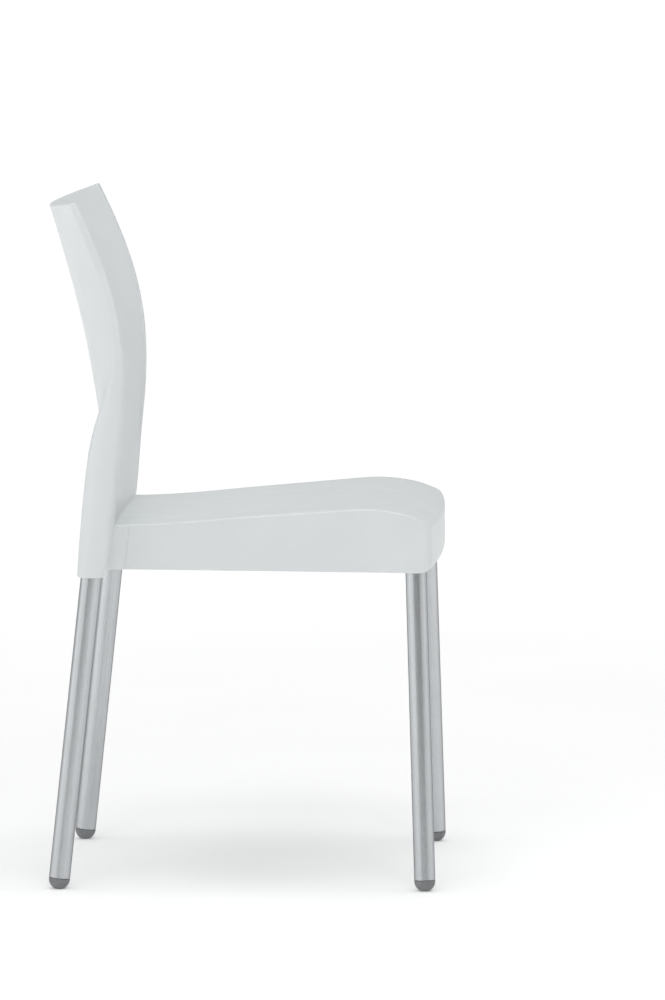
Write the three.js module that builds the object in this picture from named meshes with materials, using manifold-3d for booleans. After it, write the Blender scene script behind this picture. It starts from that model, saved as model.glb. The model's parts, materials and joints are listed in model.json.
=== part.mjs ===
// A stacking chair: one moulded shell (seat, back, side columns and skirt) on four round tube legs.
// Millimetres, +Z up, floor at Z 0, front towards -Y, the sitter's left towards +X.
//
// Shapes are laid out in stations: forward from the line through the rear feet, across from the
// middle plane, and up from the floor.

import * as THREE from 'three';
import { mergeVertices } from 'three/addons/utils/BufferGeometryUtils.js';
import Module from 'manifold-3d';

const wasm = await Module();
wasm.setup();

// Legs
const FOOT_SPACING_ACROSS = 440;
const FOOT_SPACING_FORWARD = 434;
const TUBE_RADIUS = 12.5;
const TUBE_BORE = 10.5;
const TUBE_SIDES = 32;
const GAP = 0.3;
const LEGS = {
  rear: { forward: 0, lean: 0.1053, inward: 0.031, top: 520, screwSeat: 16 },
  front: { forward: FOOT_SPACING_FORWARD, lean: -0.032, inward: 0.055, top: 434, screwSeat: 15 },
};
const SOCKET_RADIUS = 16.5;
const SOCKET_TOP = 442;
const SCREW_HEIGHT = 405;
const INSERT_LENGTH = 34;
const SCREW = {
  head: 4.5, headHeight: 3, bevel: 1.2, shank: 2.4, length: 21, driveRadius: 1.6, driveDepth: 1.8,
};

// Glides: a ball of the tube's radius, flattened where it stands
const BALL_HEIGHT = 11.6;
const GLIDE_COLLAR = 1.2;
const GLIDE_STEM = 26;

// Seat
const SKIRT_BOTTOM = 378;
const SKIRT_WALL = 4;
const SEAT_THICKNESS = 4.5;
const SEAT_REAR = 60;
const SEAT_FRONT = 450;
const FRONT_BULGE = 9;
const FRONT_HALF_WIDTH = 219;
const REAR_HALF_WIDTH = 188.5;
const EAR_HALF_WIDTH = 205;
const EAR_RADIUS = 15;
const EAR_DEPTH = 10;
const EDGE_RADIUS = 2.5;
const SIDE_LIP_RADIUS = 1;
const FRONT_LIP_RADIUS = 12;
const CORNER_RADIUS = 12;
const HOLLOW_FILLET = 3;
const RIB_THICKNESS = 2.5;
const RIB_DEPTH = 14;

// Back and its side columns
const COLUMN_BOTTOM = 371;
const COLUMN_OUTER = 226;
const COLUMN_OUTER_HEIGHT = 380;
const COLUMN_INWARD = 0.037;
const PANEL_THICKNESS = 5.2;
const PANEL_BOTTOM = 428.5;
const TOP_HEIGHT = 809.4;
const TOP_SLOPE = 0.27;
const ABOVE_TOP = 832;

// The origin lies under the middle of the chair's length.
const CENTRE_FORWARD = 212;

// A smooth curve of height against forward, through a few hand-set points
function profile(points) {
  const curve = new THREE.SplineCurve(points.map(([x, y]) => new THREE.Vector2(x, y)));
  const fine = curve.getPoints(200);
  return (along) => {
    let i = 1;
    while (i < fine.length - 1 && fine[i].x < along) i += 1;
    const [a, b] = [fine[i - 1], fine[i]];
    return a.y + (b.y - a.y) * (along - a.x) / (b.x - a.x);
  };
}

// Seat surface: height against forward, with the rise to the crown and the drop at the front
const seatProfile = profile([
  [40, 431], [65, 431.3], [134, 434.5], [200, 440.5], [265, 446], [330, 451.3],
  [370, 453.3], [400, 450.8], [425, 445.3], [441, 439.3], [447, 435.5], [450, 430.5], [452, 426],
]);
// Side columns: forward against height, for the front edge and the rear edge
const columnFront = profile([
  [360, 54], [378, 56.5], [436, 65], [509, 71.3], [560, 76], [600, 77.3], [650, 74.5],
  [709, 62.5], [755, 46.5], [796, 28.5], [834, 9.5],
]);
const columnRear = profile([
  [360, 20.5], [378, 21.3], [425, 24.3], [485, 30], [538, 38.2], [577, 50], [608, 59],
  [640, 62.2], [690, 56.5], [739, 41.5], [793, 20.5], [834, 2],
]);
// Back panel: rear face on the middle plane, forward against height
const panelRear = profile([
  [400, 63], [430, 59.5], [490, 46.5], [554, 34], [629, 20.5], [687, 7.5], [745, -8.5],
  [805, -26.5], [834, -36],
]);
// Half thickness of a column across the chair, against height
const columnHalf = profile([
  [360, 17.6], [440, 18], [520, 17.2], [570, 13.5], [620, 8.5], [680, 5], [740, 3.8], [834, 3.5],
]);

const point = (forward, across, up) => new THREE.Vector3(across, CENTRE_FORWARD - forward, up);
const clamp = THREE.MathUtils.clamp;
const smoothstep = THREE.MathUtils.smoothstep;
const range = (count) => Array.from({ length: count }, (_, i) => i);

// ---- Solids ----

// A solid from a closed surface, whichever way its faces are wound
function solid(geometry) {
  const bare = geometry.index ? geometry.toNonIndexed() : geometry.clone();
  bare.deleteAttribute('normal');
  bare.deleteAttribute('uv');
  const merged = mergeVertices(bare, 1e-4);
  const vertProperties = new Float32Array(merged.attributes.position.array);
  const triVerts = new Uint32Array(merged.index.array);
  const body = new wasm.Manifold(new wasm.Mesh({ numProp: 3, vertProperties, triVerts }));
  if (body.volume() > 0) return body;
  return new wasm.Manifold(new wasm.Mesh({ numProp: 3, vertProperties, triVerts: triVerts.reverse() }));
}

function geometryOf(body) {
  const mesh = body.getMesh();
  const geometry = new THREE.BufferGeometry();
  geometry.setAttribute('position', new THREE.BufferAttribute(mesh.vertProperties, 3));
  geometry.setIndex(new THREE.BufferAttribute(mesh.triVerts, 1));
  geometry.computeVertexNormals();
  return geometry;
}

// A closed surface from lists of quads, each quad four points in order
function geometryFromQuads(quads) {
  const triangles = quads.flatMap(([a, b, c, d]) => [a, b, c, a, c, d]);
  const flat = triangles.filter((_, i) => {
    const start = i - (i % 3);
    const [a, b, c] = triangles.slice(start, start + 3);
    return a.distanceTo(b) > 1e-4 && b.distanceTo(c) > 1e-4 && c.distanceTo(a) > 1e-4;
  });
  return new THREE.BufferGeometry().setFromPoints(flat);
}

// Quads between two rings of the same number of points
function band(lower, upper) {
  return lower.map((_, i) => {
    const next = (i + 1) % lower.length;
    return [lower[i], lower[next], upper[next], upper[i]];
  });
}

const bands = (rings) => rings.slice(1).flatMap((ring, i) => band(rings[i], ring));

// Closes a ring whose first half faces its second half, point by point
function stripCap(ring, facesUp) {
  const last = ring.length - 1;
  return range(ring.length / 2 - 1).map((i) => {
    const quad = [ring[i], ring[i + 1], ring[last - i - 1], ring[last - i]];
    return facesUp ? quad : quad.reverse();
  });
}

function loft(rings) {
  const quads = [...bands(rings), ...stripCap(rings[0], false), ...stripCap(rings.at(-1), true)];
  return solid(geometryFromQuads(quads));
}

// A turned body: the outline is [radius, height] pairs, from axis to axis or closed on itself
function turned(outline, sides = TUBE_SIDES) {
  const points = outline.map(([radius, height]) => new THREE.Vector2(radius, height));
  return new THREE.LatheGeometry(points, sides).rotateX(Math.PI / 2);
}

function cylinder(radius, from, to, sides) {
  return turned([[0, from], [radius, from], [radius, to], [0, to]], sides);
}

// ---- Seat ----

const seatSpan = FOOT_SPACING_FORWARD - SEAT_REAR;

function halfWidth(forward) {
  const t = clamp((forward - SEAT_REAR) / seatSpan, 0, 1.05);
  const flare = FRONT_HALF_WIDTH - REAR_HALF_WIDTH;
  return REAR_HALF_WIDTH + flare * (0.7 * t + 0.3 * t * t);
}

const frontLine = (across) => SEAT_FRONT - FRONT_BULGE * (across / FRONT_HALF_WIDTH) ** 2;

function seatTop(forward, across) {
  const ramp = smoothstep(forward, 300, SEAT_FRONT - FRONT_BULGE);
  return seatProfile(forward + ramp * (SEAT_FRONT - frontLine(across)));
}

// Plan outline of the seat in four sides, each from one patch corner to the next, as [forward, across].
// With ears it spreads at the rear, in a hollow curve, to meet the side columns.
const LANES = 10;
const SIDE_STEPS = 9;
function seatOutline(eared) {
  const mirror = (points) => points.map(([forward, across]) => [forward, -across]).reverse();
  const sideEnd = SEAT_FRONT - FRONT_BULGE - CORNER_RADIUS;
  const frontEnd = FRONT_HALF_WIDTH - CORNER_RADIUS;
  const corner = new THREE.QuadraticBezierCurve(
    new THREE.Vector2(sideEnd, halfWidth(sideEnd)),
    new THREE.Vector2(frontLine(FRONT_HALF_WIDTH), halfWidth(frontLine(FRONT_HALF_WIDTH))),
    new THREE.Vector2(frontLine(frontEnd), frontEnd),
  ).getPoints(4).map((p) => [p.x, p.y]);
  const sideStart = SEAT_REAR + 2 + EAR_RADIUS;
  const ear = range(4).map((i) => {
    const angle = Math.PI - (i / 3) * Math.PI / 2;
    return [sideStart + EAR_RADIUS * Math.cos(angle), EAR_HALF_WIDTH - EAR_RADIUS * Math.sin(angle)];
  });
  const rearCorner = eared ? [SEAT_REAR - EAR_DEPTH, EAR_HALF_WIDTH] : [SEAT_REAR, REAR_HALF_WIDTH];
  // The steps along a side get shorter towards the crown.
  const side = range(SIDE_STEPS - 1).map((i) => {
    const share = 1 - (1 - (i + 1) / SIDE_STEPS) ** 1.6;
    const forward = sideStart + (sideEnd - sideStart) * share;
    return [forward, halfWidth(forward)];
  });
  const left = [rearCorner, ...(eared ? ear : []), ...side, ...corner.slice(0, 3)];
  const frontHalf = [...corner.slice(2), ...range(LANES / 2 - 2).map((i) => {
    const across = frontEnd * (1 - (i + 1) / (LANES / 2 - 2));
    return [frontLine(across), across];
  })];
  const straight = range(LANES - 1).map((i) => {
    const across = REAR_HALF_WIDTH * (-1 + 2 * i / (LANES - 2));
    return [SEAT_REAR, eared ? across : across * (LANES - 2) / LANES];
  });
  const rear = [...mirror([rearCorner]), ...straight, rearCorner];
  return { rear, left, front: [...frontHalf, ...mirror(frontHalf).slice(1)], right: mirror(left) };
}

// The outline as one ring, with the steps that build walls and surfaces on it
function seatPlan(eared) {
  const outline = seatOutline(eared);
  const steps = outline.left.length - 1;
  const sides = [outline.rear, outline.left, outline.front, outline.right];
  const places = sides.flatMap((side) => side.slice(0, -1));
  const cornerStart = SEAT_FRONT - FRONT_BULGE - CORNER_RADIUS;
  const lipRadius = places.map(([forward]) => {
    const frontShare = smoothstep(forward, cornerStart - 4, cornerStart + CORNER_RADIUS);
    return SIDE_LIP_RADIUS + (FRONT_LIP_RADIUS - SIDE_LIP_RADIUS) * frontShare;
  });
  const allRound = (value) => places.map(() => value);

  // The outline moved inwards, with its corners mitred
  function inset(insets) {
    return places.map(([forward, across], i) => {
      const [f0, a0] = places.at(i - 1);
      const [f1, a1] = places[(i + 1) % places.length];
      const normal = new THREE.Vector2(a0 - across, forward - f0).normalize();
      normal.add(new THREE.Vector2(across - a1, f1 - forward).normalize());
      normal.multiplyScalar(2 / normal.lengthSq());
      return [forward - insets[i] * normal.x, across - insets[i] * normal.y];
    });
  }

  const ring = (insets, height) => inset(insets).map((place, i) => skirtPoint(place, height(place, i)));

  // Quads across the inside of the ring, at the height given for each place
  function patch(insets, height) {
    const flat = inset(insets);
    const rear = flat.slice(0, LANES + 1);
    const left = flat.slice(LANES, LANES + steps + 1);
    const front = flat.slice(LANES + steps, 2 * LANES + steps + 1).reverse();
    const right = [...flat.slice(2 * LANES + steps), flat[0]].reverse();
    const blend = (i, j, k) => {
      const s = i / LANES;
      const t = j / steps;
      const along = (1 - t) * rear[i][k] + t * front[i][k];
      const sideways = (1 - s) * right[j][k] + s * left[j][k];
      const rearCorners = (1 - s) * rear[0][k] + s * rear[LANES][k];
      const frontCorners = (1 - s) * front[0][k] + s * front[LANES][k];
      return along + sideways - (1 - t) * rearCorners - t * frontCorners;
    };
    const corner = (i, j) => {
      const place = [blend(i, j, 0), blend(i, j, 1)];
      return skirtPoint(place, height(place));
    };
    return range(LANES).flatMap((i) => range(steps).map((j) => [
      corner(i, j), corner(i, j + 1), corner(i + 1, j + 1), corner(i + 1, j),
    ]));
  }
  const turnedOver = (quads) => quads.map((quad) => quad.reverse());

  return { inset, ring, patch, turnedOver, lipRadius, allRound };
}

// Below the seat surface the rear of the skirt leans with the rear legs.
function skirtPoint([forward, across], up) {
  const rearShare = 1 - smoothstep(forward, 80, 180);
  const drop = Math.max(0, seatProfile(SEAT_REAR) - up);
  return point(forward - LEGS.rear.lean * drop * rearShare, across, up);
}

function seatOuter() {
  const plan = seatPlan(true);
  const surface = (place) => seatTop(...place);
  const lip = [0, 45, 90].map((degrees) => {
    const angle = THREE.MathUtils.degToRad(degrees);
    const insets = plan.lipRadius.map((radius) => radius * (1 - Math.sin(angle)));
    return plan.ring(insets, (_, i) => SKIRT_BOTTOM + plan.lipRadius[i] * (1 - Math.cos(angle)));
  });
  const rim = plan.inset(plan.allRound(EDGE_RADIUS)).map(surface);
  const edge = [0, 90].map((degrees) => {
    const angle = THREE.MathUtils.degToRad(degrees);
    const insets = plan.allRound(EDGE_RADIUS * (1 - Math.cos(angle)));
    return plan.ring(insets, (_, i) => rim[i] - EDGE_RADIUS * (1 - Math.sin(angle)));
  });
  return solid(geometryFromQuads([
    ...bands([...lip, ...edge]),
    ...plan.turnedOver(plan.patch(plan.allRound(EDGE_RADIUS), surface)),
    ...plan.patch(plan.lipRadius, () => SKIRT_BOTTOM),
  ]));
}

function seatHollow() {
  const plan = seatPlan(false);
  const under = (place) => seatTop(...place) - SEAT_THICKNESS;
  const lipInset = (share) => plan.lipRadius.map((radius) => SKIRT_WALL + (radius - SIDE_LIP_RADIUS) * share);
  const top = plan.allRound(SKIRT_WALL + HOLLOW_FILLET);
  const roof = plan.inset(top).map(under);
  const below = SKIRT_BOTTOM - 5;
  const walls = [
    plan.ring(lipInset(1), () => below),
    plan.ring(lipInset(1), () => SKIRT_BOTTOM + 4),
    plan.ring(lipInset(0.35), () => SKIRT_BOTTOM + 8),
    plan.ring(lipInset(0), () => SKIRT_BOTTOM + 15),
    plan.ring(plan.allRound(SKIRT_WALL), (_, i) => roof[i] - HOLLOW_FILLET),
    plan.ring(top, under),
  ];
  return solid(geometryFromQuads([
    ...bands(walls),
    ...plan.turnedOver(plan.patch(top, under)),
    ...plan.patch(lipInset(1), () => below),
  ]));
}

// Ribs under the seat, as plates that follow its underside
function seatRibs() {
  const lengthwise = [-110, 0, 110].map((across) => {
    const stations = range(9).map((i) => SEAT_REAR - 2 + (SEAT_FRONT - SEAT_REAR) * i / 8);
    const edge = (rise) => stations.map((forward) => {
      return new THREE.Vector2(forward, seatTop(forward, across) + rise);
    });
    const shape = new THREE.Shape([...edge(-SEAT_THICKNESS - RIB_DEPTH), ...edge(20).reverse()]);
    const plate = new THREE.ExtrudeGeometry(shape, { depth: RIB_THICKNESS, bevelEnabled: false });
    plate.rotateX(Math.PI / 2).rotateZ(-Math.PI / 2);
    return plate.translate(across + RIB_THICKNESS / 2, CENTRE_FORWARD, 0);
  });
  const crosswise = [180, 310].map((forward) => {
    const bottom = seatTop(forward, 0) - SEAT_THICKNESS - RIB_DEPTH;
    const plate = new THREE.BoxGeometry(2 * FRONT_HALF_WIDTH, RIB_THICKNESS, 60);
    return plate.translate(0, CENTRE_FORWARD - forward, bottom + 30);
  });
  return [...lengthwise, ...crosswise].map(solid).reduce((all, rib) => all.add(rib));
}

// ---- Back ----

const columnOuter = (up) => COLUMN_OUTER - COLUMN_INWARD * (up - COLUMN_OUTER_HEIGHT);

// One level of a side column: a rounded oval that flattens towards the top
const COLUMN_POINTS = 20;
function columnRing(up, side) {
  const half = columnHalf(up);
  const squareness = 2.3 + 1.2 * smoothstep(up, 560, 700);
  const middle = (columnFront(up) + columnRear(up)) / 2;
  const depth = (columnFront(up) - columnRear(up)) / 2;
  const across = columnOuter(up) - half;
  const rounded = (value) => Math.sign(value) * Math.abs(value) ** (2 / squareness);
  return range(COLUMN_POINTS).map((i) => {
    const angle = 2 * Math.PI * (i + 0.5) / COLUMN_POINTS;
    const forward = middle + depth * rounded(Math.cos(angle));
    return point(forward, side * across + half * rounded(Math.sin(angle)), up);
  });
}

const COLUMN_LEVELS = [
  COLUMN_BOTTOM, 410, 455, 500, 530, 552, 574, 598, 622, 646, 672, 705, 740, 775, ABOVE_TOP,
];
const column = (side) => loft(COLUMN_LEVELS.map((up) => columnRing(up, side)));

// The panel between the columns, hollow to the front and deepest about the shoulders
function panel() {
  const columns = 12;
  const levels = [PANEL_BOTTOM, 460, 495, 530, 565, 600, 640, 680, 720, 760, ABOVE_TOP];
  const rings = levels.map((up) => {
    const reach = columnOuter(up) - columnHalf(up);
    const middle = panelRear(up) + PANEL_THICKNESS;
    const depth = columnFront(up) - GAP - middle;
    const front = range(columns + 1).map((i) => {
      const share = -1 + 2 * i / columns;
      return [middle + depth * share * share, reach * share];
    });
    const rear = front.map(([forward, across]) => [forward - PANEL_THICKNESS, across]).reverse();
    return [...front, ...rear].map(([forward, across]) => point(forward, across, up));
  });
  return loft(rings);
}

// Everything above the sloping top edge of the back
function aboveTop() {
  const size = 600;
  const box = new THREE.BoxGeometry(size, size, size).translate(0, 0, size / 2);
  box.rotateX(-Math.atan(TOP_SLOPE));
  return solid(box.translate(0, CENTRE_FORWARD, TOP_HEIGHT));
}

// ---- Legs ----

// Places a leg's own frame: its Z along the tube, its origin at the centre of the glide's ball
function legMatrix(leg, side) {
  const along = new THREE.Vector3(-side * leg.inward, -leg.lean, 1).normalize();
  const turn = new THREE.Quaternion().setFromUnitVectors(new THREE.Vector3(0, 0, 1), along);
  const foot = point(leg.forward, side * FOOT_SPACING_ACROSS / 2, BALL_HEIGHT);
  return new THREE.Matrix4().compose(foot, turn, new THREE.Vector3(1, 1, 1));
}

// Distance along a leg's axis from its ball to a height above the floor
const alongLeg = (leg, up) => (up - BALL_HEIGHT) * Math.hypot(1, leg.lean, leg.inward);

function axisPoint(leg, side, up) {
  return new THREE.Vector3(0, 0, alongLeg(leg, up)).applyMatrix4(legMatrix(leg, side));
}

// The screw runs straight across the chair, outwards through the socket and into the leg.
function screwFrame(leg, side) {
  const seat = axisPoint(leg, side, SCREW_HEIGHT);
  seat.x -= side * leg.screwSeat;
  return new THREE.Matrix4().makeRotationY(side * Math.PI / 2).setPosition(seat);
}

function screwHole(leg, side) {
  const head = cylinder(SCREW.head + 1, -60, 0, 24);
  const shank = cylinder(SCREW.shank + GAP, -1, SCREW.length + 1, 16);
  const frame = screwFrame(leg, side);
  return solid(head.applyMatrix4(frame)).add(solid(shank.applyMatrix4(frame)));
}

function screwBody() {
  const { head, headHeight, shank, length, driveRadius, driveDepth, bevel } = SCREW;
  const top = -GAP - headHeight;
  return turned([
    [0, top + driveDepth], [driveRadius, top + driveDepth], [driveRadius, top], [head - bevel, top],
    [head, top + bevel], [head, -GAP], [shank, -GAP], [shank, length - 3], [shank / 4, length], [0, length],
  ], 16);
}

const legList = Object.entries(LEGS).flatMap(([end, leg]) => [
  { end, leg, side: 1, label: `${end}_left` },
  { end, leg, side: -1, label: `${end}_right` },
]);

// A body in its leg's own frame, with the hole for the screw
function drilled(body, leg, side) {
  const hole = geometryOf(screwHole(leg, side)).applyMatrix4(legMatrix(leg, side).invert());
  return geometryOf(body.subtract(solid(hole)));
}

function tubeBody(leg, side) {
  const bottom = GLIDE_COLLAR + GAP;
  const top = alongLeg(leg, leg.top);
  const outline = [
    [TUBE_BORE, bottom], [TUBE_RADIUS, bottom], [TUBE_RADIUS, top], [TUBE_BORE, top], [TUBE_BORE, bottom],
  ];
  return drilled(solid(turned(outline)), leg, side);
}

function insertBody(leg, side) {
  const middle = alongLeg(leg, SCREW_HEIGHT);
  const radius = TUBE_BORE - GAP;
  const body = cylinder(radius, middle - INSERT_LENGTH / 2, middle + INSERT_LENGTH / 2);
  return drilled(solid(body), leg, side);
}

function glideBody(leg, side) {
  const ball = range(6).map((i) => {
    const angle = -Math.PI / 2 + (i / 5) * Math.PI / 2;
    return [i === 0 ? 0 : TUBE_RADIUS * Math.cos(angle), TUBE_RADIUS * Math.sin(angle)];
  });
  const stem = TUBE_BORE - GAP;
  const outline = [
    ...ball, [TUBE_RADIUS, GLIDE_COLLAR], [stem, GLIDE_COLLAR],
    [stem, GLIDE_STEM - 2], [stem - 2, GLIDE_STEM], [0, GLIDE_STEM],
  ];
  const size = 60;
  const floor = new THREE.BoxGeometry(size, size, size);
  const foot = point(leg.forward, side * FOOT_SPACING_ACROSS / 2, -size / 2);
  floor.translate(foot.x, foot.y, foot.z).applyMatrix4(legMatrix(leg, side).invert());
  return geometryOf(solid(turned(outline)).subtract(solid(floor)));
}

// ---- Shell ----

function shellBody() {
  const frontLegs = legList.filter(({ end }) => end === 'front');
  const sockets = frontLegs.map(({ leg, side }) => {
    const body = cylinder(SOCKET_RADIUS, alongLeg(leg, SKIRT_BOTTOM), alongLeg(leg, SOCKET_TOP));
    return solid(body.applyMatrix4(legMatrix(leg, side)));
  });
  const hollow = [seatRibs(), ...sockets].reduce((space, body) => space.subtract(body), seatHollow());
  let shell = seatOuter().subtract(hollow);
  shell = [panel(), column(1), column(-1)].reduce((all, body) => all.add(body), shell);
  shell = shell.subtract(aboveTop());
  legList.forEach(({ leg, side }) => {
    const bore = cylinder(TUBE_RADIUS + GAP, alongLeg(leg, SKIRT_BOTTOM - 60), alongLeg(leg, leg.top) + GAP);
    shell = shell.subtract(solid(bore.applyMatrix4(legMatrix(leg, side))));
    shell = shell.subtract(screwHole(leg, side));
  });
  return geometryOf(shell);
}

// ---- Assembly ----

const materials = {
  polypropylene: { color: 0xdfe2e3, roughness: 0.38, metalness: 0 },
  aluminium: { color: 0xb4b8ba, roughness: 0.32, metalness: 1 },
  glide: { color: 0x6f7375, roughness: 0.55, metalness: 0 },
  steel: { color: 0x9a9da0, roughness: 0.35, metalness: 1 },
  nylon: { color: 0xe6e4dc, roughness: 0.6, metalness: 0 },
};

function piece(name, geometry, finish) {
  const mesh = new THREE.Mesh(geometry, new THREE.MeshStandardMaterial(materials[finish]));
  mesh.name = name;
  return mesh;
}

const chair = new THREE.Group();
chair.add(piece('shell', shellBody(), 'polypropylene'));
legList.forEach(({ leg, side, label }) => {
  const standing = new THREE.Group();
  legMatrix(leg, side).decompose(standing.position, standing.quaternion, standing.scale);
  standing.add(piece(`leg_${label}`, tubeBody(leg, side), 'aluminium'));
  standing.add(piece(`glide_${label}`, glideBody(leg, side), 'glide'));
  standing.add(piece(`leg_insert_${label}`, insertBody(leg, side), 'nylon'));
  const screw = piece(`leg_screw_${label}`, screwBody(), 'steel');
  screwFrame(leg, side).decompose(screw.position, screw.quaternion, screw.scale);
  chair.add(standing, screw);
});

export default chair;
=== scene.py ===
"""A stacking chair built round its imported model: a moulded shell on four tube legs.

Shapes are laid out in millimetres as the model's source does: forward from the line through the
rear feet, across from the middle plane, up from the floor. Meshes are written in metres.
"""

import json
import math

import bmesh
import bpy
import numpy as np
from mathutils import Matrix, Vector
from mathutils.bvhtree import BVHTree
from mathutils.geometry import barycentric_transform


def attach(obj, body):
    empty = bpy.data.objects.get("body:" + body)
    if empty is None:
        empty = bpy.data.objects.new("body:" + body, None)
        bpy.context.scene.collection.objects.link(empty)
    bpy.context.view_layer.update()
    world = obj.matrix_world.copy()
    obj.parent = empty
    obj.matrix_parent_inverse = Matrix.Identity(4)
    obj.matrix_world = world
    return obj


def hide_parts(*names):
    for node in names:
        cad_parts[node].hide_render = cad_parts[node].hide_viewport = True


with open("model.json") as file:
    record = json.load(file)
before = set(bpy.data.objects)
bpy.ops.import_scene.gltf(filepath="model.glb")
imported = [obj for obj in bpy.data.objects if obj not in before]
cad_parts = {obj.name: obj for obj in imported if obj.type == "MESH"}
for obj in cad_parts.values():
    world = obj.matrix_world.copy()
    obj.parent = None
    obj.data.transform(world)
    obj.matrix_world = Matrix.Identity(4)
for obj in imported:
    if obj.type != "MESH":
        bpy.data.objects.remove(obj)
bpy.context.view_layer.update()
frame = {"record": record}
record = frame["record"]

MM = 0.001

# ---- Driving dimensions, in millimetres ----

# Legs, glides and screws
FEET = {m["name"][len("foot_"):]: m["pos_m"] for m in record["mounts"]}
CENTRE_FORWARD = FEET["rear_left"][1] / MM
TUBE_RADIUS = 12.5
TUBE_BORE = 10.5
GAP = 0.3
BALL_HEIGHT = 11.6
GLIDE_COLLAR = 1.2
GLIDE_STEM = 26
GLIDE_EDGE = 0.4
TUBE_EDGE = 0.35
LEGS = {
    "rear": {"lean": 0.1053, "inward": 0.031, "top": 520, "screw_seat": 16},
    "front": {"lean": -0.032, "inward": 0.055, "top": 434, "screw_seat": 15},
}
SOCKET_RADIUS = 16.5
SOCKET_TOP = 442
SCREW_HEIGHT = 405
SCREW_HEAD = 4.5
SCREW_HEAD_HEIGHT = 3
SCREW_HEAD_ROUND = 1.2
SCREW_SHANK = 2.4
SCREW_LENGTH = 21
THREAD_PITCH = 1.25
THREAD_ROOT = 2.0
THREAD_CREST = SCREW_SHANK + 0.15
DRIVE_RADIUS = 1.6
DRIVE_DEPTH = 1.8

# Seat
SKIRT_BOTTOM = 378
SKIRT_WALL = 4
SEAT_THICKNESS = 4.5
SEAT_REAR = 60
SEAT_FRONT = 450
FRONT_BULGE = 9
FRONT_HALF_WIDTH = 219
REAR_HALF_WIDTH = 188.5
WIDEST_STATION = 434
WIDENING_BOW = 0.3
WIDENING_END = 1.05
EDGE_RADIUS = 2.5
SIDE_LIP_RADIUS = 1
FRONT_LIP_RADIUS = 12
CORNER_RADIUS = 12
HOLLOW_FILLET = 3
LIP_START = 3
LIP_RISE = 14
FRONT_BLEND_START = 300
LEAN_FADE = (80, 180)
DISH_DEPTH = 3
DISH_CENTRE = 215
DISH_HALF_LENGTH = 145
DISH_HALF_WIDTH = 165
RIB_THICKNESS = 2.5
RIB_DEPTH = 14
RIB_LANES = (-110, 0, 110)
RIB_STATIONS = (180, 310)
RIB_ENDS = (SEAT_REAR - 2, SEAT_FRONT - 2)
LONG_RIB_HEIGHT = 50
CROSS_RIB_HEIGHT = 60

# The webs between the seat's rear corners and the columns
EAR_HALF_WIDTH = 205
EAR_RADIUS = 15
EAR_START = 2
EAR_TAIL = 6
EAR_DEPTH = 9
EAR_REACH = 8
EAR_INNER = 179.5
EAR_REAR_RADIUS = 10
EAR_ROOT = 48
EAR_ROOT_INNER = 192

# Back
COLUMN_BOTTOM = 371
COLUMN_OUTER = 226
COLUMN_OUTER_HEIGHT = 380
COLUMN_INWARD = 0.037
COLUMN_EDGE = 2
PANEL_THICKNESS = 5.2
PANEL_BOTTOM = 428.5
PANEL_LIMIT = 830
TOP_HEIGHT = 809.4
TOP_SLOPE = 0.27
TOP_EDGE = 1.5
CREASE_STATION = SEAT_REAR + 5
CREASE_FILLET = 3.5
CREASE_STEPS = (-2, 0, 0.3, 0.6, 1, 1.5, 2.1, 2.8, 3.5)
CREASE_FADE = (170, 196)
COLUMN_FILLET = 6
COLUMN_FILLET_SHARE = 0.7
COLUMN_FILLET_LEAST = 0.05

# Joined bodies stay this far inside one another's faces, so that no two faces coincide
SINK_SIDE = 0.02
SINK_PANEL = 0.03
SINK_TOP = 0.04
SINK_BOTTOM = 0.05
SINK_CREASE = 0.4

# How far cutting bodies run past what they cut
PAST_HOLLOW = 5
PAST_HOLE = 1
PAST_BORE = 60

# A sliver's size and the reach of one surface's normals, in metres, and their least cosine
SLIVER = 1e-7
SAME_SURFACE = 4e-6
SAME_FACING = 0.98
SHARP_ANGLE = math.radians(30)
SHELL_SHARP_ANGLE = math.radians(28)


# ---- Curves ----

def profile(points, spread):
    """A smooth curve through listed points, as a function, rounded off over the given spread."""
    x, y = np.array(points, float).T
    gaps = np.diff(x)
    count = len(x)
    matrix, right = np.eye(count), np.zeros(count)
    for i in range(1, count - 1):
        matrix[i, i - 1:i + 2] = gaps[i - 1], 2 * (gaps[i - 1] + gaps[i]), gaps[i]
        right[i] = 6 * ((y[i + 1] - y[i]) / gaps[i] - (y[i] - y[i - 1]) / gaps[i - 1])
    bend = np.linalg.solve(matrix, right)
    step = 0.5
    fine = np.arange(x[0], x[-1] + step / 2, step)
    i = np.clip(np.searchsorted(x, fine) - 1, 0, count - 2)
    ahead, behind = x[i + 1] - fine, fine - x[i]
    value = (bend[i] * ahead ** 3 + bend[i + 1] * behind ** 3) / (6 * gaps[i])
    value += (y[i] / gaps[i] - bend[i] * gaps[i] / 6) * ahead
    value += (y[i + 1] / gaps[i] - bend[i + 1] * gaps[i] / 6) * behind
    reach = int(3 * spread / step)
    weights = np.exp(-0.5 * (np.arange(-reach, reach + 1) * step / spread) ** 2)
    padded = np.pad(value, reach, "reflect", reflect_type="odd")
    value = np.convolve(padded, weights / weights.sum(), "valid")
    return lambda along: np.interp(along, fine, value)


def smoothstep(value, low, high):
    t = np.clip((np.asarray(value, float) - low) / (high - low), 0, 1)
    return t * t * (3 - 2 * t)


# Seat surface: height against forward
seat_profile = profile([
    (40, 431), (65, 431.3), (134, 434.5), (200, 440.5), (265, 446), (330, 451.3),
    (370, 453.3), (400, 450.8), (425, 445.3), (441, 439.3), (447, 435.5), (450, 430.5), (452, 426),
], 1.5)
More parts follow.
